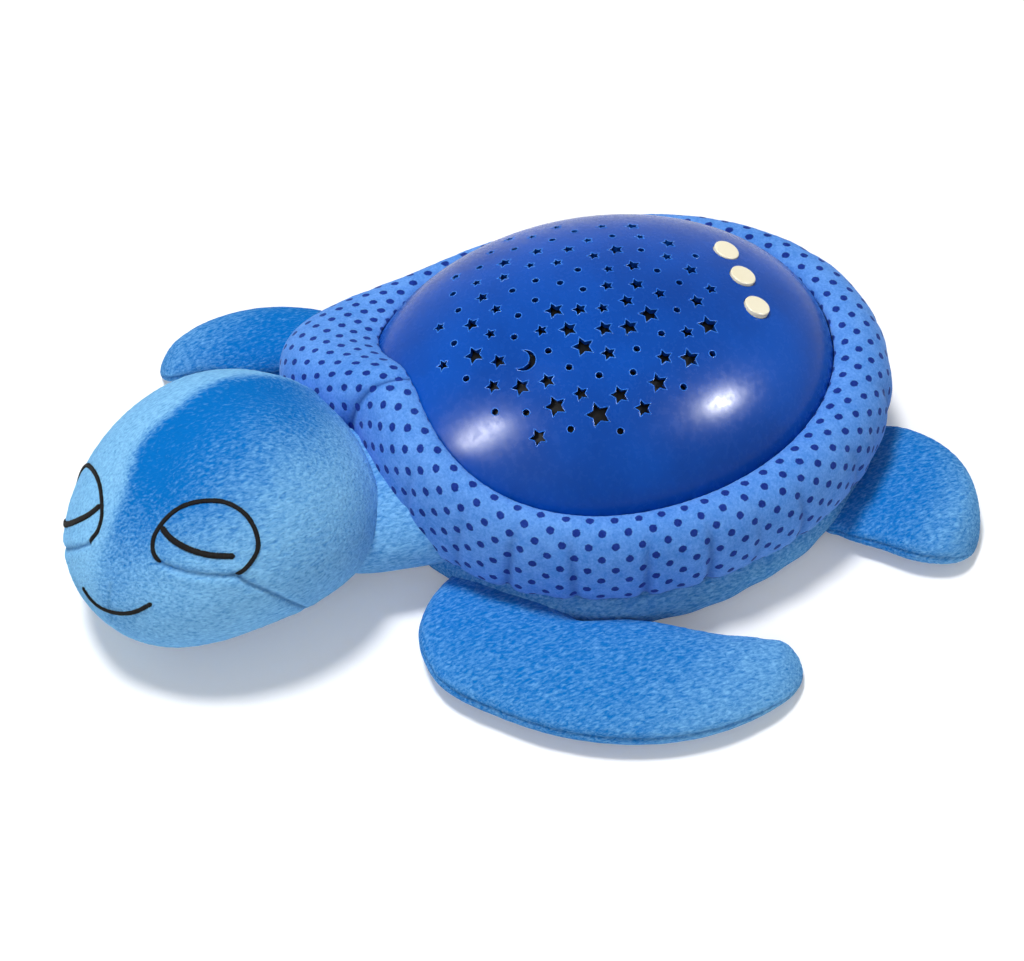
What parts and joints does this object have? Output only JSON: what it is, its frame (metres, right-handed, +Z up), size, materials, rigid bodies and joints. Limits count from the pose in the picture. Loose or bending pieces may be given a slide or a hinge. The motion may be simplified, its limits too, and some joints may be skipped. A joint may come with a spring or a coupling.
{
  "type": "night light",
  "caption": "Plush sea turtle night light with a hard domed shell that throws stars through cut-outs, push buttons on the dome and a battery base set into the belly.",
  "frame": {"origin": "on the floor plane, under the middle of the dome, in the middle of the base tray's flat underside", "axes": "+Z up out of the dome's crown, -Y towards the head, +X towards the turtle's left side"},
  "size_m": [0.2302, 0.3152, 0.085],
  "materials": {
    "dome_plastic": "moulded gloss, mid blue",
    "smoked_plastic": "smoked dark grey",
    "base_plastic": "moulded fine texture, blue",
    "screw_steel": "zinc plated",
    "cell_can": "plain wrapped can",
    "contact_metal": "nickel plated spring strip",
    "circuit_board": "green solder mask",
    "led_amber_lens": "clear tinted",
    "led_green_lens": "clear tinted",
    "led_blue_lens": "clear tinted",
    "chip_plastic": "moulded black",
    "button_plastic": "cream, soft gloss",
    "lead_red": "insulated wire",
    "lead_black": "insulated wire",
    "lead_grey": "flat ribbon",
    "plush": "short-pile plush, light blue",
    "dotted_cloth": "smooth velour, blue with small navy dots"
  },
  "bodies": {
    "turtle": {"dome_shell": "dome_plastic", "dome_liner": "smoked_plastic", "base_tray": "base_plastic", "case_screws": "screw_steel", "battery_cell_front": "cell_can", "battery_cell_middle": "cell_can", "battery_cell_rear": "cell_can", "contact_plates": "contact_metal", "contact_leaves": "contact_metal", "led_board": "circuit_board", "led_amber": "led_amber_lens", "led_green": "led_green_lens", "led_blue": "led_blue_lens", "control_chip": "chip_plastic", "led_board_screws": "screw_steel", "button_board": "circuit_board", "button_board_screws": "screw_steel", "switch_bodies": "chip_plastic", "battery_lead_red": "lead_red", "battery_lead_black": "lead_black", "button_ribbon": "lead_grey", "belly": "plush", "rim_bolster": "dotted_cloth", "head": "plush", "neck": "plush"},
    "left_button": {"button_left": "button_plastic", "plunger_left": "chip_plastic"},
    "middle_button": {"button_middle": "button_plastic", "plunger_middle": "chip_plastic"},
    "right_button": {"button_right": "button_plastic", "plunger_right": "chip_plastic"},
    "door": {"battery_door": "base_plastic", "door_screw": "screw_steel"},
    "left_front_limb": {"front_flipper_left": "plush"},
    "right_front_limb": {"front_flipper_right": "plush"},
    "left_rear_limb": {"rear_flipper_left": "plush"},
    "right_rear_limb": {"rear_flipper_right": "plush"}
  },
  "joints": [
    {"name": "left_button_press", "type": "slide", "parent": "turtle", "child": "left_button", "axis": [0, -0.3721, -0.9282], "range_m": [0, 0.001], "stiffness_N_per_m": 400, "springref_m": -0.001},
    {"name": "middle_button_press", "type": "slide", "parent": "turtle", "child": "middle_button", "axis": [0, -0.3721, -0.9282], "range_m": [0, 0.001], "stiffness_N_per_m": 400, "springref_m": -0.001},
    {"name": "right_button_press", "type": "slide", "parent": "turtle", "child": "right_button", "axis": [0, -0.3721, -0.9282], "range_m": [0, 0.001], "stiffness_N_per_m": 400, "springref_m": -0.001},
    {"name": "door_swing", "type": "hinge", "parent": "turtle", "child": "door", "pos_m": [0, 0.00915, 0.00115], "axis": [-1, 0, 0], "range_deg": [0, 85]},
    {"name": "left_front_flipper_swing", "type": "hinge", "parent": "turtle", "child": "left_front_limb", "pos_m": [0.06724, -0.06991, 0.009], "axis": [0, 0, -1], "range_deg": [0, 20]},
    {"name": "right_front_flipper_swing", "type": "hinge", "parent": "turtle", "child": "right_front_limb", "pos_m": [-0.06057, -0.06989, 0.009], "axis": [0, 0, -1], "range_deg": [0, 20]},
    {"name": "left_rear_flipper_lift", "type": "hinge", "parent": "turtle", "child": "left_rear_limb", "pos_m": [0.0481, 0.08315, 0.0125], "axis": [0.7547, -0.6561, 0], "range_deg": [0, 25]},
    {"name": "right_rear_flipper_lift", "type": "hinge", "parent": "turtle", "child": "right_rear_limb", "pos_m": [-0.06833, 0.05723, 0.0125], "axis": [0.4772, 0.8788, 0], "range_deg": [0, 25]}
  ]
}
